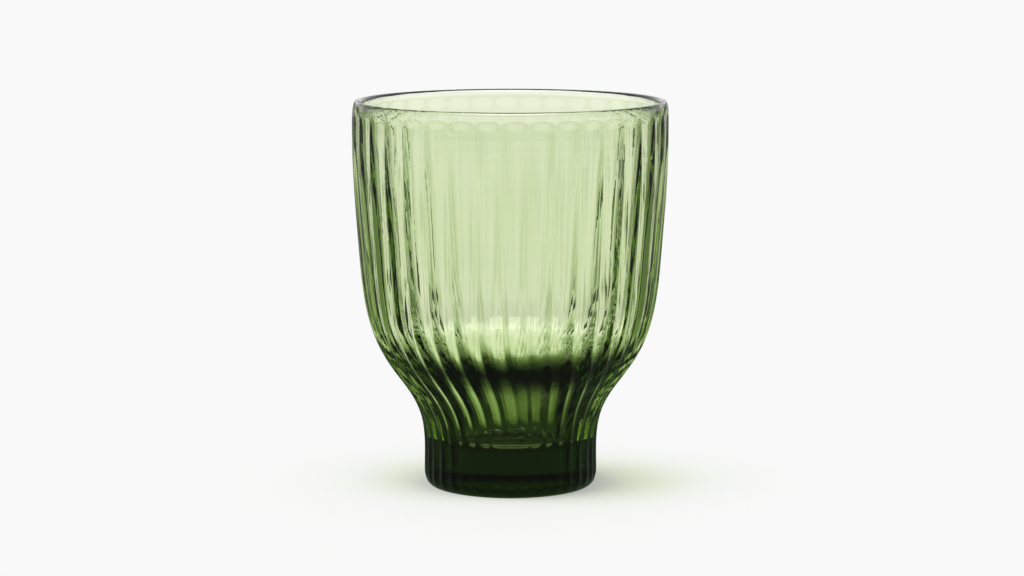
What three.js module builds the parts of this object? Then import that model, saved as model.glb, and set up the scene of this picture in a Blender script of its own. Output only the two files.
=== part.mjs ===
// A fluted drinking glass in green glass: a deep round bowl that draws in over a shoulder to a solid foot.
// Millimetres, +Z up. The origin is the centre of the plane that the glass stands on.
import * as THREE from "three";

// Outside of the glass, measured over the ridges between the flutes. A lean is in degrees from upright.
const GLASS_HEIGHT = 100;
const RIM_RADIUS = 40.75;
const UPRIGHT_BAND = 9;
const SHOULDER_RADIUS = 39;
const SHOULDER_HEIGHT = 59;
const SHOULDER_LEAN = 4.3;
const BEND_RADIUS = 29;
const BEND_HEIGHT = 28.3;
const BEND_LEAN = 37.9;
const NECK_RADIUS = 22.35;
const NECK_HEIGHT = 9.5;
const FOOT_RADIUS = 22.4;
const HEEL_HEIGHT = 3.6;
const HEEL_INSET = 2.2;
const FOOT_HEIGHT = 6;

// Underside: a narrow ring stands on the table, round a shallow hollow.
const STANDING_RING_WIDTH = 3;
const HOLLOW_DEPTH = 0.8;

// Wall thicknesses, square to the inner face. The floor's is measured on the axis, up from the joint.
const RIM_WALL = 2.4;
const SHOULDER_WALL = 3.9;
const BEND_WALL = 5.1;
const FLOOR_THICKNESS = 4.4;

// Inside, the wall turns in to a narrow well over the foot. Its bend sits higher up the wall than the outer one.
// The well's curve keeps the floor's level and the bend's lean for these shares of the chord between them.
const INNER_BEND_RISE = 2.9;
const INNER_BEND_LEAN = 48.4;
const WELL_FLATNESS = 0.71;
const WELL_STEEPNESS = 0.89;

// Flutes: hollow channels side by side all round, which run out below a smooth lip and at the heel.
const FLUTE_COUNT = 38;
const BOWL_FLUTE_DEPTH = 0.5;
const FOOT_FLUTE_DEPTH = 0.2;
const LIP_BAND = 2;
const FLUTE_RUN_OUT = 4;

// The flutes turn to the right on their way down over the shoulder, and run straight above and below it.
const FLUTE_TWIST = 8;
const TWIST_TOP = 52;
const TWIST_BOTTOM = 20;

// How finely the curves are faceted.
const FACETS_PER_FLUTE = 4;
const STEPS = { wall: 2, runOut: 3, shoulder: 6, bend: 6, rim: 4, well: 10, heel: 4, hollow: 2 };

// How far a wall curve keeps a station's lean, as a share of the chord to the next station.
const SLOW_TURN = 0.48;
const QUICK_TURN = 0.33;

// A station is a point of the half-section with the lean of the wall there.
function station(radius, height, lean, reach) {
  const angle = THREE.MathUtils.degToRad(lean);
  return {
    point: new THREE.Vector2(radius, height),
    along: new THREE.Vector2(Math.sin(angle), Math.cos(angle)),
    reach,
  };
}

// The station on the inner face, one wall thickness in from an outer station that is moved up its wall.
function inward(outer, thickness, rise, lean) {
  const point = outer.point.clone().addScaledVector(outer.along, rise);
  const inner = station(point.x, point.y, lean, outer.reach);
  const inwardNormal = new THREE.Vector2(-inner.along.y, inner.along.x);
  inner.point.addScaledVector(inwardNormal, thickness);
  return inner;
}

// The smooth curve up the wall between two stations, as points from the lower to the upper one.
function wallPoints(lower, upper, steps) {
  const chord = lower.point.distanceTo(upper.point);
  const curve = new THREE.CubicBezierCurve(
    lower.point,
    lower.point.clone().addScaledVector(lower.along, chord * lower.reach),
    upper.point.clone().addScaledVector(upper.along, -chord * upper.reach),
    upper.point,
  );
  return curve.getPoints(steps);
}

// Several runs of points as one outline, without the points where two runs meet twice over.
function joined(...runs) {
  return runs.flatMap((run, i) => (i === 0 ? run : run.slice(1)));
}

// How much of its full depth a flute has at a height: it lifts out of the wall below the lip and at the heel.
function fluteShare(height) {
  const belowLip = (GLASS_HEIGHT - LIP_BAND - height) / FLUTE_RUN_OUT;
  const aboveBase = height / HEEL_HEIGHT;
  return THREE.MathUtils.clamp(Math.min(belowLip, aboveBase), 0, 1);
}

// How deep the wall is hollowed at a turn round the axis: full in the middle of a flute, nothing on a ridge.
function fluteCut(turn, radius, height) {
  const depth = THREE.MathUtils.mapLinear(
    radius, FOOT_RADIUS, RIM_RADIUS, FOOT_FLUTE_DEPTH, BOWL_FLUTE_DEPTH,
  );
  const hollow = Math.abs(Math.sin((turn * FLUTE_COUNT) / 2));
  return Math.max(0, depth * (hollow - 1 + fluteShare(height)));
}

// How far the wall is turned round the axis at a height, in radians.
function fluteTurn(height) {
  const down = 1 - THREE.MathUtils.smoothstep(height, TWIST_BOTTOM, TWIST_TOP);
  return THREE.MathUtils.degToRad(FLUTE_TWIST) * down;
}

// A twisted solid of revolution whose middle run of points carries the flutes, turned to stand along +Z.
function flutedRevolve(before, fluted, after) {
  const outline = [...before, ...fluted, ...after];
  const geometry = new THREE.LatheGeometry(outline, FLUTE_COUNT * FACETS_PER_FLUTE);
  const position = geometry.getAttribute("position");
  for (let i = 0; i < position.count; i += 1) {
    const row = i % outline.length;
    const isFluted = row >= before.length && row < before.length + fluted.length;
    const { x: radius, y: height } = outline[row];
    const turn = Math.atan2(position.getX(i), position.getZ(i));
    const hollowed = isFluted ? radius - fluteCut(turn, radius, height) : radius;
    const twisted = turn + fluteTurn(height);
    position.setXYZ(i, hollowed * Math.sin(twisted), height, hollowed * Math.cos(twisted));
  }
  geometry.computeVertexNormals();
  return geometry.rotateX(Math.PI / 2);
}

const bottleGreen = new THREE.MeshStandardMaterial({ color: 0x8fae5c, roughness: 0.05, metalness: 0 });

// The joint is the level face on which the bowl meets the foot.
const jointCentre = new THREE.Vector2(0, FOOT_HEIGHT);
const jointEdge = new THREE.Vector2(NECK_RADIUS, FOOT_HEIGHT);

// Outer stations, from the neck up to the lip.
const neck = station(NECK_RADIUS, NECK_HEIGHT, 0, SLOW_TURN);
const bend = station(BEND_RADIUS, BEND_HEIGHT, BEND_LEAN, QUICK_TURN);
const shoulder = station(SHOULDER_RADIUS, SHOULDER_HEIGHT, SHOULDER_LEAN, SLOW_TURN);
const upright = station(RIM_RADIUS, GLASS_HEIGHT - UPRIGHT_BAND, 0, QUICK_TURN);

// Bowl: the outer wall, the rounded rim, the smooth inside and its rounded floor, cut level at the joint.
function makeBowl() {
  const lipRadius = RIM_WALL / 2;
  const lipHeight = GLASS_HEIGHT - lipRadius;
  const fluteEnd = new THREE.Vector2(RIM_RADIUS, GLASS_HEIGHT - LIP_BAND);
  const wall = joined(
    [jointEdge, neck.point],
    wallPoints(neck, bend, STEPS.bend),
    wallPoints(bend, shoulder, STEPS.shoulder),
    wallPoints(shoulder, upright, STEPS.wall),
    new THREE.LineCurve(upright.point, fluteEnd).getPoints(STEPS.runOut),
  );
  const lip = new THREE.ArcCurve(RIM_RADIUS - lipRadius, lipHeight, lipRadius, 0, Math.PI);
  const rim = lip.getPoints(STEPS.rim);

  const innerFloor = station(0, FOOT_HEIGHT + FLOOR_THICKNESS, 90, WELL_FLATNESS);
  const innerBend = inward(bend, BEND_WALL, INNER_BEND_RISE, INNER_BEND_LEAN);
  const innerShoulder = inward(shoulder, SHOULDER_WALL, 0, SHOULDER_LEAN);
  const innerRim = station(RIM_RADIUS - RIM_WALL, lipHeight, 0, QUICK_TURN);
  const inside = joined(
    wallPoints(innerFloor, { ...innerBend, reach: WELL_STEEPNESS }, STEPS.well),
    wallPoints(innerBend, innerShoulder, STEPS.shoulder),
    wallPoints(innerShoulder, innerRim, STEPS.wall),
  ).reverse();

  const bowl = new THREE.Mesh(flutedRevolve([jointCentre], wall, joined(rim, inside)), bottleGreen);
  bowl.name = "bowl";
  return bowl;
}

// Foot: a solid fluted drum with a rounded heel, which meets the bowl on a level face.
function makeFoot() {
  const ringOuter = FOOT_RADIUS - HEEL_INSET;
  const ringInner = ringOuter - STANDING_RING_WIDTH;
  const hollow = wallPoints(
    station(0, HOLLOW_DEPTH, 90, QUICK_TURN),
    station(ringInner, 0, 90, QUICK_TURN),
    STEPS.hollow,
  );
  const heel = new THREE.EllipseCurve(
    ringOuter, HEEL_HEIGHT, HEEL_INSET, HEEL_HEIGHT, -Math.PI / 2, 0,
  ).getPoints(STEPS.heel);
  const wall = [...heel, jointEdge];

  const foot = new THREE.Mesh(flutedRevolve(hollow, wall, [jointCentre]), bottleGreen);
  foot.name = "foot";
  return foot;
}

const drinkingGlass = new THREE.Group();
drinkingGlass.add(makeBowl(), makeFoot());

export default drinkingGlass;
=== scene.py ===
# A fluted drinking glass in bottle green glass, on a pale studio floor.
# Metres, in the frame of the CAD model.
import math

import bpy
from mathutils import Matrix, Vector, noise
from mathutils.geometry import interpolate_bezier


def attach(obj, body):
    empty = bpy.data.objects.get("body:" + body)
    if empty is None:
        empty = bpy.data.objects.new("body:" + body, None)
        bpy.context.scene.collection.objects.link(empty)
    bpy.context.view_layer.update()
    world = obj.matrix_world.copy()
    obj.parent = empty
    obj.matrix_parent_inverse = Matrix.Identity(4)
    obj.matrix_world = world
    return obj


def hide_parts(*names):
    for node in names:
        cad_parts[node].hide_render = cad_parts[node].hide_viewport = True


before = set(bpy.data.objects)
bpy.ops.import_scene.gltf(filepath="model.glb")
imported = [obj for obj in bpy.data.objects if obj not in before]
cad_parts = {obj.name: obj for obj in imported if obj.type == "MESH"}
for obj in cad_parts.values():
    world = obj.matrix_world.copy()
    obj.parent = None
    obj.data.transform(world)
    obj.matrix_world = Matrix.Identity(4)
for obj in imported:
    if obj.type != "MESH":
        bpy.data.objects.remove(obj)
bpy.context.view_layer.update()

# Glass: one mass of soda-lime glass, coloured green in the melt and pressed hot into a ribbed mould.
# The outer face carries 38 hollow flutes side by side, and the inner face is smooth but for the slow waves of
# hot glass. One flute's slice is spun from two half-sections, pressed hollow and repeated round the axis.
MM = 0.001
HEIGHT = 100 * MM
FLUTES = 38
FLUTE_ANGLE = math.tau / FLUTES
FACETS = 8
CROWDING = 0.13
LIP_BAND = 2 * MM
FLUTE_RUN_OUT = 3 * MM
HEEL_HEIGHT = 3.6 * MM
WELD = 0.002 * MM
# At a height in mm: how deep a flute is in mm, and how round its ridges are as a share of half its width.
FLUTE_SHAPES = [
    (0, 0.32, 0.25), (22, 0.45, 0.2), (32, 0.75, 0.2), (44, 0.8, 0.2), (58, 0.65, 0.2), (78, 0.58, 0.2),
    (94, 0.45, 0.2), (100, 0.4, 0.2)]


def station(radius, height, lean, down, up, rows=0):
    """A point of a half-section in mm, with its lean from upright in degrees.

    Down and up are the reach of its two handles, and rows counts the rows of points to the next station.
    """
    along = Vector((0, -math.sin(math.radians(lean)), math.cos(math.radians(lean))))
    point = Vector((0, -radius, height))
    return point * MM, (point - along * down) * MM, (point + along * up) * MM, rows


def spun(name, stations, steps, angle):
    """A face of revolution, all round or a slice of it, spun from a half-section of Bezier spans."""
    outline = [stations[0][0]]
    for (start, _, leaving, rows), (end, arriving, _, _) in zip(stations, stations[1:]):
        outline += interpolate_bezier(start, leaving, arriving, end, rows + 1)[1:]
    mesh = bpy.data.meshes.new(name)
    mesh.from_pydata(outline, [(i, i + 1) for i in range(len(outline) - 1)], [])
    face = bpy.data.objects.new(name, mesh)
    bpy.context.scene.collection.objects.link(face)
    bpy.ops.object.select_all(action="DESELECT")
    bpy.context.view_layer.objects.active = face
    face.select_set(True)
    bpy.ops.object.mode_set(mode="EDIT")
    bpy.ops.mesh.select_all(action="SELECT")
    bpy.ops.mesh.spin(steps=steps, angle=angle, center=(0, 0, 0), axis=(0, 0, 1))
    bpy.ops.object.mode_set(mode="OBJECT")
    return face


def eased(share):
    """A share held between 0 and 1, with an easy start and end."""
    share = min(1, max(0, share))
    return share * share * (3 - 2 * share)


outer_face = spun("drinking_glass", [
    station(0, 0.8, 90, 0, 6, 4),
    station(17.2, 0, 90, 6, 1, 2),
    station(20.2, 0, 90, 1, 1.2, 8),
    station(22.4, 3.6, 0, 2.0, 2, 6),
    station(22.35, 9.5, 0, 2, 9.6, 70),
    station(29, 28.3, 37.9, 6.6, 10.7, 56),
    station(39, 59, 4.3, 15.5, 15.5, 12),
    station(40.75, 91, 0, 10.6, 2, 12),
    station(40.7, 96, -2, 1.5, 1, 8),
    station(40.35, 98.9, -16, 0.9, 0.5, 6),
    station(39.6, 100, -90, 0.4, 0),
], FACETS, FLUTE_ANGLE)
inner_face = spun("inner_face", [
    station(0, 10.4, 90, 0, 26, 66),
    station(27.5, 34.4, 48.4, 32.6, 8.6, 56),
    station(35.2, 59.3, 4.3, 12.5, 19, 12),
    station(38.35, 99.1, 0, 13, 0.5, 6),
    station(39.6, 100, 90, 0.8, 0),
], FACETS, FLUTE_ANGLE)
inner_group = inner_face.vertex_groups.new(name="inside")
inner_group.add(range(len(inner_face.data.vertices)), 1.0, "REPLACE")

# Pressing the flute: full depth in its middle, nothing on the ridges, lifting out below the lip and at the
# heel. The rows of points crowd towards the ridges first, where the surface turns quickest.
for vertex in [*outer_face.data.vertices, *inner_face.data.vertices]:
    x, y, _ = vertex.co
    radius = math.hypot(x, y)
    across = math.atan2(x, -y) / FLUTE_ANGLE
    turn = FLUTE_ANGLE * (across - CROWDING * math.sin(math.tau * across))
    vertex.co.x = radius * math.sin(turn)
    vertex.co.y = -radius * math.cos(turn)
for vertex in outer_face.data.vertices:
    x, y, z = vertex.co
    share = eased((HEIGHT - LIP_BAND - z) / FLUTE_RUN_OUT) * min(1, max(0, z / HEEL_HEIGHT))
    for (low, *lower), (high, *upper) in zip(FLUTE_SHAPES, FLUTE_SHAPES[1:]):
        if low * MM <= z <= high * MM:
            depth, rounding = Vector(lower).lerp(Vector(upper), (z / MM - low) / (high - low))
    from_ridge = 1 - abs(2 * abs(math.atan2(x, -y)) / FLUTE_ANGLE - 1)
    from_ridge = (math.hypot(from_ridge, rounding) - rounding) / (math.hypot(1, rounding) - rounding)
    hollow = 1 - (1 - from_ridge) ** 2
    radius = math.hypot(x, y)
    if radius > 0:
        pressed = 1 - depth * MM * share * hollow / radius
        vertex.co.x *= pressed
        vertex.co.y *= pressed

# The two faces become one slice, and the slice goes round the axis once for each flute.
bpy.ops.object.select_all(action="DESELECT")
inner_face.select_set(True)
outer_face.select_set(True)
bpy.context.view_layer.objects.active = outer_face
bpy.ops.object.join()
glass = bpy.context.object
bpy.ops.object.empty_add(rotation=(0, 0, FLUTE_ANGLE))
one_flute_on = bpy.context.object
round_the_axis = glass.modifiers.new("round_the_axis", "ARRAY")
round_the_axis.count = FLUTES
round_the_axis.use_relative_offset = False
round_the_axis.use_object_offset = True
round_the_axis.offset_object = one_flute_on
bpy.context.view_layer.objects.active = glass
bpy.ops.object.modifier_apply(modifier=round_the_axis.name)
bpy.data.objects.remove(one_flute_on)
bpy.ops.object.mode_set(mode="EDIT")
bpy.ops.mesh.select_all(action="SELECT")
bpy.ops.mesh.remove_doubles(threshold=WELD)
bpy.ops.mesh.normals_make_consistent(inside=False)
bpy.ops.object.mode_set(mode="OBJECT")

# The glass turned a little in the mould as it was drawn off, so the flutes are twisted over the shoulder.
# The plunger left the inside smooth, with low waves drawn out up the wall and a shallow dish in the floor.
TWIST = math.radians(8)
TWIST_TOP = 45 * MM
TWIST_BOTTOM = 14 * MM
WAVE_HEIGHT = 0.12 * MM
WAVE_LENGTH = 11 * MM
WAVE_DRAW = 0.45
WAVE_FADE = 10 * MM
RIPPLE_SHARE = 0.06
RIPPLES_TO_A_WAVE = 3
DISH_DEPTH = 0.9 * MM
DISH_RADIUS = 11 * MM
inside = glass.vertex_groups["inside"].index
for vertex in glass.data.vertices:
    x, y, z = vertex.co
    radius = math.hypot(x, y)
    turn = math.atan2(x, -y)
    if any(group.group == inside for group in vertex.groups):
        spot = Vector((x, y, z * WAVE_DRAW)) / WAVE_LENGTH
        wave = noise.noise(spot) + RIPPLE_SHARE * noise.noise(spot * RIPPLES_TO_A_WAVE)
        radius += wave * WAVE_HEIGHT * min(1, (HEIGHT - z) / WAVE_FADE, radius / WAVE_FADE)
        vertex.co.z -= DISH_DEPTH * max(0, 1 - (radius / DISH_RADIUS) ** 2) ** 2
    else:
        turn += TWIST * eased((TWIST_TOP - z) / (TWIST_TOP - TWIST_BOTTOM))
    vertex.co.x = radius * math.sin(turn)
    vertex.co.y = -radius * math.cos(turn)
glass.vertex_groups.clear()
bpy.ops.object.shade_smooth()


def to_linear(hex_colour):
    """The linear RGBA of an sRGB hex colour."""
    channels = [int(hex_colour[i:i + 2], 16) / 255 for i in (1, 3, 5)]
    return [c / 12.92 if c <= 0.04045 else ((c + 0.055) / 1.055) ** 2.4 for c in channels] + [1.0]


def add_node(tree, kind, settings=None, links=None, stops=(), reach=1):
    """A node with its settings, by attribute or socket name, and the outputs linked to its inputs.

    A colour ramp also gets its stops, each with a place from 0 to the reach and a colour.
    """
    node = tree.nodes.new(kind)
    for name, value in (settings or {}).items():
        if isinstance(name, int) or name in node.inputs:
            node.inputs[name].default_value = value
        else:
            setattr(node, name, value)
    for name, output in (links or {}).items():
        tree.links.new(output, node.inputs[name])
    if stops:
        elements = node.color_ramp.elements
        while len(elements) < len(stops):
            elements.new(1.0)
        for element, (place, colour) in zip(elements, stops):
            element.position = place / reach
            element.color = to_linear(colour)
    return node


# Bottle green soda-lime glass, fire polished: the eye sees hardly any surface, only bent light and a green
# that deepens with the thickness looked through, from pale at the wall to nearly black in the foot.
GLASS_IOR = 1.5
GLASS_GREEN = "#c9de7f"
GREEN_DENSITY = 140.0
green_glass = bpy.data.materials.new("bottle_green_glass")
green_glass.use_nodes = True
tree = green_glass.node_tree
tree.nodes.clear()
surface = add_node(tree, "ShaderNodeBsdfPrincipled", {
    "Base Color": to_linear("#ffffff"), "Roughness": 0.0, "IOR": GLASS_IOR, "Transmission Weight": 1.0})
depth_tint = add_node(
    tree, "ShaderNodeVolumeAbsorption", {"Color": to_linear(GLASS_GREEN), "Density": GREEN_DENSITY})
add_node(tree, "ShaderNodeOutputMaterial", links={
    "Surface": surface.outputs["BSDF"], "Volume": depth_tint.outputs["Volume"]})
glass.data.materials.append(green_glass)

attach(glass, "root")
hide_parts("bowl", "foot")

# Floor: a wide sheet of pale matt paper, as bright as the room round it, so that no horizon shows.
# The camera sees it past the glass. Whatever looks out of the glass sees the table card on it instead.
FLOOR_DROP = 0.1 * MM
FLOOR_RADIUS = 6.0
FLOOR_GREY = "#a0a0a0"
ROUND_STEPS = 96


def stage_material(name):
    """A blank material for the stage. If it glows, it lights nothing, and shows only to what looks at it."""
    material = bpy.data.materials.new(name)
    material.use_nodes = True
    material.cycles.emission_sampling = "NONE"
    material.node_tree.nodes.clear()
    return material


def stage_paper(name, shader, settings):
    """A stage material of one plain shader."""
    material = stage_material(name)
    paper = add_node(material.node_tree, shader, settings)
    add_node(material.node_tree, "ShaderNodeOutputMaterial", links={"Surface": paper.outputs[0]})
    return material


def show_only_to(thing, *rays):
    """Leaves a thing on the stage visible to the named kinds of ray alone."""
    for kind in ("camera", "diffuse", "glossy", "transmission", "shadow"):
        setattr(thing, "visible_" + kind, kind in rays)


bpy.ops.object.select_all(action="DESELECT")
bpy.ops.mesh.primitive_circle_add(
    vertices=ROUND_STEPS, radius=FLOOR_RADIUS, fill_type="NGON", location=(0, 0, -FLOOR_DROP))
floor = bpy.context.object
floor.name = "floor"
floor.data.materials.append(
    stage_paper("matt_paper", "ShaderNodeBsdfDiffuse", {"Color": to_linear(FLOOR_GREY)}))
show_only_to(floor, "camera", "diffuse", "shadow")

# Table card: a glowing sheet with a low edge all round, seen only through the glass, whose painted light
# stands for a lit table. A painted shadow lies on it, a soft dark green ring for the foot's own shadow, and
# painted shade dims it to both sides, which draws the dark streaks in the flutes.
# Bearings run from 90 in front of the glass over 180 on its right to 270 behind it.
CAMERA_TURN = math.radians(3.2)
TABLE_RADIUS = 5.0
TABLE_EDGE = 1.0
TABLE_LIGHT = 1.26
RING_NARROWING = 1.2
SIDE_SHADE_START = 75 * MM
SIDE_SHADE_FULL = 120 * MM
NEAR_START = 26 * MM
NEAR_FULL = 42 * MM
# Colours of the painted shadow ring and of the painted light of the sheet, by the distance from the axis in
# mm, up to a reach.
RING_REACH = 150
SHADOW_RING = [
    (0, "#1b1f16"), (45, "#20251b"), (52, "#3c4628"), (58, "#4e5c36"), (63, "#5c6a40"), (70, "#667749"),
    (77, "#889a6e"), (88, "#a6b696"), (105, "#c8d4bc"), (122, "#f2f6ee"), (145, "#ffffff")]
SHEET_REACH = 1400
SHEET_LIGHT = [
    (185, "#ffffff"), (240, "#e3e3e3"), (350, "#e3e3e3"), (440, "#ececec"), (480, "#ececec"),
    (660, "#d8decf"), (880, "#dce0d4"), (1250, "#e4e7de")]
# Colours of the painted side shade and of the painted light left of the foot, by the bearing in degrees.
FULL_TURN = 360
SIDE_SHADE = [
    (15, "#ffffff"), (45, "#c0c0c0"), (135, "#c0c0c0"), (165, "#ffffff"), (196, "#ffffff"),
    (204, "#c8d2bc"), (212, "#768a58"), (230, "#6c7e52"), (238, "#b0be9e"), (246, "#dfe6d6"),
    (254, "#f4f6f1"), (262, "#ffffff"), (278, "#ffffff"), (286, "#f4f6f1"), (294, "#dfe6d6"),
    (302, "#b4c2a4"), (311, "#7a8e60"), (326, "#768a5c"), (335, "#ccd6c0"), (344, "#ffffff")]
# Painted light: the shadow ring is lightened to the left of the foot, where the left lamp falls.
NEAR_LEFT_LIGHT = [(15, "#5c6452"), (45, "#000000"), (305, "#000000"), (328, "#5c6452")]
# Two ways of laying one colour over another.
MULTIPLIED = {"data_type": "RGBA", "blend_type": "MULTIPLY", "Factor": 1.0}
LIGHTENED = {"data_type": "RGBA", "blend_type": "LIGHTEN", "Factor": 1.0}

table_paint = stage_material("table_card")
tree = table_paint.node_tree
place = add_node(tree, "ShaderNodeTexCoord").outputs["Object"]
narrowed = add_node(
    tree, "ShaderNodeVectorMath", {"operation": "MULTIPLY", 1: (RING_NARROWING, 1, 1)}, {0: place})
narrowed_out = add_node(
    tree, "ShaderNodeVectorMath", {"operation": "LENGTH"}, {0: narrowed.outputs["Vector"]})
ring_share = add_node(
    tree, "ShaderNodeMath", {"operation": "DIVIDE", 1: RING_REACH * MM}, {0: narrowed_out.outputs["Value"]})
painted_shadow_ring = add_node(
    tree, "ShaderNodeValToRGB", links={"Fac": ring_share.outputs["Value"]}, stops=SHADOW_RING, reach=RING_REACH)
metres_out = add_node(tree, "ShaderNodeVectorMath", {"operation": "LENGTH"}, {0: place})
sheet_share = add_node(
    tree, "ShaderNodeMath", {"operation": "DIVIDE", 1: SHEET_REACH * MM}, {0: metres_out.outputs["Value"]})
painted_sheet_light = add_node(
    tree, "ShaderNodeValToRGB", links={"Fac": sheet_share.outputs["Value"]}, stops=SHEET_LIGHT, reach=SHEET_REACH)
bearing = add_node(tree, "ShaderNodeTexGradient", {"gradient_type": "RADIAL"}, {"Vector": place})
painted_side_shade = add_node(
    tree, "ShaderNodeValToRGB", links={"Fac": bearing.outputs["Fac"]}, stops=SIDE_SHADE, reach=FULL_TURN)
painted_left_light = add_node(
    tree, "ShaderNodeValToRGB", links={"Fac": bearing.outputs["Fac"]}, stops=NEAR_LEFT_LIGHT, reach=FULL_TURN)
off_the_ring = add_node(tree, "ShaderNodeMapRange", {
    "From Min": SIDE_SHADE_START, "From Max": SIDE_SHADE_FULL}, {"Value": metres_out.outputs["Value"]})
past_the_foot = add_node(tree, "ShaderNodeMapRange", {
    "From Min": NEAR_START, "From Max": NEAR_FULL}, {"Value": metres_out.outputs["Value"]})
shadow_ring_lit_left = add_node(tree, "ShaderNodeMix", LIGHTENED, {
    "Factor": past_the_foot.outputs["Result"], "A": painted_shadow_ring.outputs["Color"], "B": painted_left_light.outputs["Color"]})
ring_on_sheet = add_node(tree, "ShaderNodeMix", MULTIPLIED, {
    "A": shadow_ring_lit_left.outputs["Result"], "B": painted_sheet_light.outputs["Color"]})
painted = add_node(tree, "ShaderNodeMix", MULTIPLIED, {
    "Factor": off_the_ring.outputs["Result"], "A": ring_on_sheet.outputs["Result"],
    "B": painted_side_shade.outputs["Color"]})
# The card glows with this painted light and shade, and lights nothing.
glow = add_node(tree, "ShaderNodeEmission", {"Strength": TABLE_LIGHT}, {"Color": painted.outputs["Result"]})
add_node(tree, "ShaderNodeOutputMaterial", links={"Surface": glow.outputs["Emission"]})

bpy.ops.mesh.primitive_circle_add(
    vertices=ROUND_STEPS, radius=TABLE_RADIUS, fill_type="NGON", location=(0, 0, -FLOOR_DROP / 2))
table = bpy.context.object
table.name = "table"
bpy.ops.mesh.primitive_cylinder_add(
    vertices=ROUND_STEPS, radius=TABLE_RADIUS, depth=TABLE_EDGE, end_fill_type="NOTHING",
    location=(0, 0, TABLE_EDGE / 2))
edge = bpy.context.object
edge.name = "table_edge"
for card in (table, edge):
    card.rotation_euler.z = CAMERA_TURN
    card.data.materials.append(table_paint)
    show_only_to(card, "transmission")

# Curb: a strip of glowing dark green paper close round the foot, seen only through the glass. It is painted
# shade, a dark sheet for the shadow round the foot, so that what is seen level through the foot is dark. It
# stands higher at both sides, which darkens the edges of the neck with the same painted shade.
CURB_SHADE_GREEN = "#334226"
CURB_RADIUS = 28.5 * MM
CURB_HEIGHT = 9.5 * MM
CURB_SIDE_RISE = 8 * MM
CURB_SIDE_START = 0.4
CURB_SIDE_FULL = 0.7
bpy.ops.mesh.primitive_cylinder_add(
    vertices=ROUND_STEPS, radius=CURB_RADIUS, depth=CURB_HEIGHT, end_fill_type="NOTHING",
    location=(0, 0, CURB_HEIGHT / 2))
shade_curb = bpy.context.object
shade_curb.name = "shade_curb"
for vertex in shade_curb.data.vertices:
    if vertex.co.z > 0:
        sideways = (abs(vertex.co.x) / CURB_RADIUS - CURB_SIDE_START) / (CURB_SIDE_FULL - CURB_SIDE_START)
        vertex.co.z += CURB_SIDE_RISE * min(1, max(0, sideways))
shade_curb.data.materials.append(stage_paper("painted_shade_paper", "ShaderNodeEmission", {"Color": to_linear(CURB_SHADE_GREEN)}))
show_only_to(shade_curb, "transmission")

# Room card: a round shell of glowing paper about the table, seen only through the glass. Its painted light is
# half bright and greenish low down and dim overhead, and it shows where the flutes bend the view up off the
# table.
ROOM_RADIUS = 1.01 * TABLE_RADIUS
SHELL_SEGMENTS = 48
SHELL_RINGS = 24
# Colours of the painted wall light by the height as a share of the table's radius.
WALL_LIGHT = [(0.08, "#6c8052"), (0.2, "#667650"), (0.4, "#626e58"), (0.6, "#40463a"), (0.8, "#1a1a1a")]
room_paint = stage_material("room_card")
tree = room_paint.node_tree
place = add_node(tree, "ShaderNodeTexCoord").outputs["Object"]
axes = add_node(tree, "ShaderNodeSeparateXYZ", links={0: place})
rise = add_node(tree, "ShaderNodeMath", {"operation": "DIVIDE", 1: TABLE_RADIUS}, {0: axes.outputs["Z"]})
painted_wall_light = add_node(tree, "ShaderNodeValToRGB", links={"Fac": rise.outputs["Value"]}, stops=WALL_LIGHT)
glow = add_node(tree, "ShaderNodeEmission", links={"Color": painted_wall_light.outputs["Color"]})
add_node(tree, "ShaderNodeOutputMaterial", links={"Surface": glow.outputs["Emission"]})
bpy.ops.mesh.primitive_uv_sphere_add(segments=SHELL_SEGMENTS, ring_count=SHELL_RINGS, radius=ROOM_RADIUS)
room = bpy.context.object
room.name = "room"
room.data.materials.append(room_paint)
show_only_to(room, "transmission")

# Sheen card: a dim glowing sheet on the table, seen only in reflections: a painted reflection of the table,
# with painted shade darkest at the foot. It stands for the table in the gloss of the glass, which stays low
# on the neck and the foot.
SHEEN_REACH = 300
SHEEN = [(60, "#5e665a"), (140, "#767e70"), (280, "#989898")]
sheen_paint = stage_material("sheen_card")
tree = sheen_paint.node_tree
place = add_node(tree, "ShaderNodeTexCoord").outputs["Object"]
metres_out = add_node(tree, "ShaderNodeVectorMath", {"operation": "LENGTH"}, {0: place})
sheen_share = add_node(
    tree, "ShaderNodeMath", {"operation": "DIVIDE", 1: SHEEN_REACH * MM}, {0: metres_out.outputs["Value"]})
sheen = add_node(
    tree, "ShaderNodeValToRGB", links={"Fac": sheen_share.outputs["Value"]}, stops=SHEEN, reach=SHEEN_REACH)
glow = add_node(tree, "ShaderNodeEmission", links={"Color": sheen.outputs["Color"]})
add_node(tree, "ShaderNodeOutputMaterial", links={"Surface": glow.outputs["Emission"]})
bpy.ops.mesh.primitive_circle_add(
    vertices=ROUND_STEPS, radius=TABLE_RADIUS, fill_type="NGON", location=(0, 0, -FLOOR_DROP / 4))
sheen_card = bpy.context.object
sheen_card.name = "sheen_card"
sheen_card.data.materials.append(sheen_paint)
show_only_to(sheen_card, "glossy")

# Sky card: a pale glowing round shell about everything, seen only in reflections: a painted reflection of the
# room. A brighter band in front of the glass paints the long highlight on the lip.
SKY_RADIUS = 1.02 * TABLE_RADIUS
SKY_LIGHT = 5.0
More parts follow.
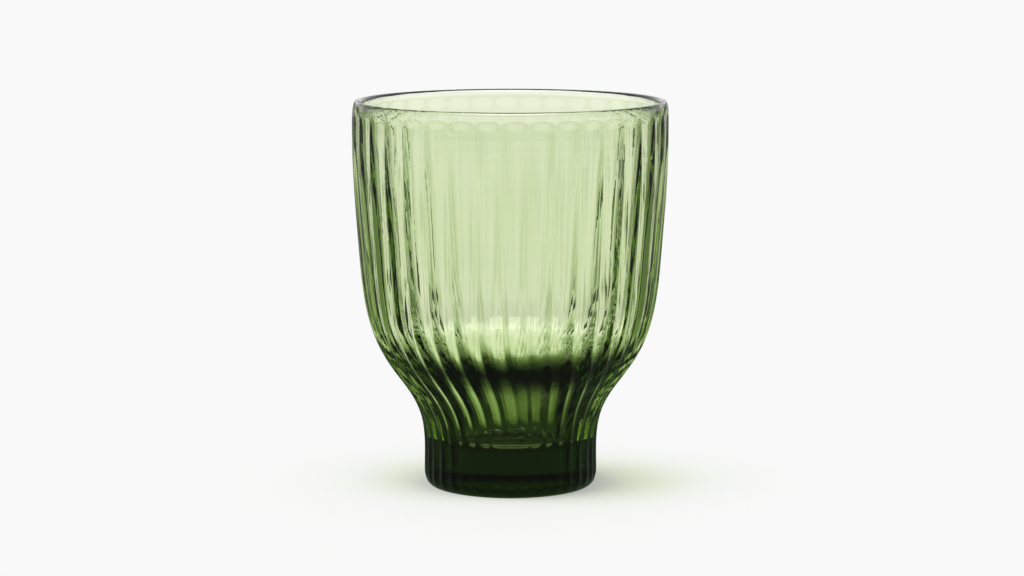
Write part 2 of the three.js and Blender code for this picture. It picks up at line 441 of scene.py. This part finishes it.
# Colours by the height as a share of the table's radius, and for the band's ends by the bearing in degrees.
SKY = [(0.04, "#3c3c3c"), (0.14, "#8c8c8c"), (0.3, "#7c7c7c"), (0.6, "#5c5c5c"), (0.85, "#404040")]
LIP_HIGHLIGHT_BAND = [(0.31, "#000000"), (0.36, "#bcbcbc"), (0.48, "#bcbcbc"), (0.53, "#000000")]
BAND_ENDS = [(15, "#000000"), (40, "#ffffff"), (140, "#ffffff"), (165, "#000000")]
sky_paint = stage_material("sky_card")
tree = sky_paint.node_tree
place = add_node(tree, "ShaderNodeTexCoord").outputs["Object"]
axes = add_node(tree, "ShaderNodeSeparateXYZ", links={0: place})
rise = add_node(tree, "ShaderNodeMath", {"operation": "DIVIDE", 1: TABLE_RADIUS}, {0: axes.outputs["Z"]})
bearing = add_node(tree, "ShaderNodeTexGradient", {"gradient_type": "RADIAL"}, {"Vector": place})
open_sky = add_node(tree, "ShaderNodeValToRGB", links={"Fac": rise.outputs["Value"]}, stops=SKY)
band_rise = add_node(tree, "ShaderNodeValToRGB", links={"Fac": rise.outputs["Value"]}, stops=LIP_HIGHLIGHT_BAND)
band_ends = add_node(
    tree, "ShaderNodeValToRGB", links={"Fac": bearing.outputs["Fac"]}, stops=BAND_ENDS, reach=FULL_TURN)
painted_highlight_band = add_node(tree, "ShaderNodeMix", MULTIPLIED, {
    "A": band_rise.outputs["Color"], "B": band_ends.outputs["Color"]})
painted = add_node(tree, "ShaderNodeMix", LIGHTENED, {
    "A": open_sky.outputs["Color"], "B": painted_highlight_band.outputs["Result"]})
glow = add_node(tree, "ShaderNodeEmission", {"Strength": SKY_LIGHT}, {"Color": painted.outputs["Result"]})
add_node(tree, "ShaderNodeOutputMaterial", links={"Surface": glow.outputs["Emission"]})
bpy.ops.mesh.primitive_uv_sphere_add(segments=SHELL_SEGMENTS, ring_count=SHELL_RINGS, radius=SKY_RADIUS)
sky = bpy.context.object
sky.name = "sky_card"
sky.data.materials.append(sky_paint)
show_only_to(sky, "glossy")

# Softbox: a square of glowing white cloth, hung level over the front of the table and seen only in
# reflections.
# It lights nothing; its painted reflection draws the bright window low in the bowl.
SOFTBOX_SIZE = 1.1
SOFTBOX_PLACE = (0, -0.95, 1.2)
SOFTBOX_LIGHT = 4.5
bpy.ops.mesh.primitive_plane_add(size=SOFTBOX_SIZE, location=SOFTBOX_PLACE)
softbox = bpy.context.object
softbox.name = "softbox"
softbox.data.materials.append(stage_paper(
    "softbox_cloth", "ShaderNodeEmission", {"Color": to_linear("#ffffff"), "Strength": SOFTBOX_LIGHT}))
show_only_to(softbox, "glossy")

# Shadow: the thick foot, neck and shoulder stop the light that the bowl lets through. A tinted body inside
# them throws it, dark in the foot and paler up to the shoulder. Only the light on the floor sees it.
SHADE_TOP = 28
# Tints by the height as a share of the body's own.
SHADE = [(0.25, "#2c440c"), (0.42, "#9cb458"), (0.6, "#ccdd9c"), (1.0, "#e4ecc8")]
glass.visible_shadow = glass.visible_diffuse = False
shade = spun("shade", [
    station(0, 0, 90, 0, 1, 1),
    station(20, 0, 45, 1, 1, 1),
    station(21.4, 9.5, 0, 3, 6, 8),
    station(27.4, SHADE_TOP, 37.9, 6, 1, 1),
    station(0, SHADE_TOP, -90, 1, 0),
], ROUND_STEPS, math.tau)
shade_paint = stage_material("shadow_tint")
tree = shade_paint.node_tree
place = add_node(tree, "ShaderNodeTexCoord").outputs["Object"]
axes = add_node(tree, "ShaderNodeSeparateXYZ", links={0: place})
rise = add_node(tree, "ShaderNodeMath", {"operation": "DIVIDE", 1: SHADE_TOP * MM}, {0: axes.outputs["Z"]})
tints = add_node(tree, "ShaderNodeValToRGB", links={"Fac": rise.outputs["Value"]}, stops=SHADE)
tinted = add_node(tree, "ShaderNodeBsdfTransparent", links={"Color": tints.outputs["Color"]})
add_node(tree, "ShaderNodeOutputMaterial", links={"Surface": tinted.outputs["BSDF"]})
shade.data.materials.append(shade_paint)
show_only_to(shade, "diffuse", "shadow")

# Light: an even soft room, a broad light from the left and a weaker one from the right, both a little in
# front. Together they bring the floor to the brightness of the room.
ROOM_LIGHT = 0.947
LIGHT_BREADTH = math.radians(45)


def add_light(name, share, bearing, rise):
    """A broad far light that gives a share of what the floor lacks. Its bearing runs from left to front."""
    bearing, rise = math.radians(bearing), math.radians(rise)
    lamp = bpy.data.lights.new(name, "SUN")
    lamp.angle = LIGHT_BREADTH
    lamp.energy = share * math.pi * ROOM_LIGHT * (1 / to_linear(FLOOR_GREY)[0] - 1) / math.sin(rise)
    light = bpy.data.objects.new(name, lamp)
    level = math.cos(rise)
    source = Vector((-level * math.cos(bearing), -level * math.sin(bearing), math.sin(rise)))
    light.rotation_euler = source.to_track_quat("Z", "Y").to_euler()
    light.visible_transmission = light.visible_glossy = False
    bpy.context.scene.collection.objects.link(light)


add_light("left_light", share=0.57, bearing=15, rise=51)
add_light("right_light", share=0.43, bearing=150, rise=62)
world = bpy.data.worlds.new("soft_room")
world.use_nodes = True
world.node_tree.nodes["Background"].inputs["Color"].default_value = (ROOM_LIGHT, ROOM_LIGHT, ROOM_LIGHT, 1)
world.cycles_visibility.transmission = world.cycles_visibility.glossy = False
bpy.context.scene.world = world
bpy.context.scene.view_settings.view_transform = "Standard"

# Camera: where the photograph was taken from, a little right of the front and looking slightly down.
# The lens is long, and its shift is the pixel and a half that the framing needs.
CAMERA_DISTANCE = 788.7 * MM
CAMERA_HEIGHT = 161.8 * MM
CAMERA_PITCH = math.radians(7.978)
FOCAL_LENGTH = 108.07
SENSOR_WIDTH = 36
SHIFT_PIXELS = 1.5
IMAGE_PIXELS = 1024
lens = bpy.data.cameras.new("camera")
lens.lens = FOCAL_LENGTH
lens.sensor_width = SENSOR_WIDTH
lens.shift_x = SHIFT_PIXELS / IMAGE_PIXELS
camera = bpy.data.objects.new("camera", lens)
camera.location = (
    CAMERA_DISTANCE * math.sin(CAMERA_TURN), -CAMERA_DISTANCE * math.cos(CAMERA_TURN), CAMERA_HEIGHT)
camera.rotation_euler = (math.pi / 2 - CAMERA_PITCH, 0, CAMERA_TURN)
bpy.context.scene.collection.objects.link(camera)
bpy.context.scene.camera = camera
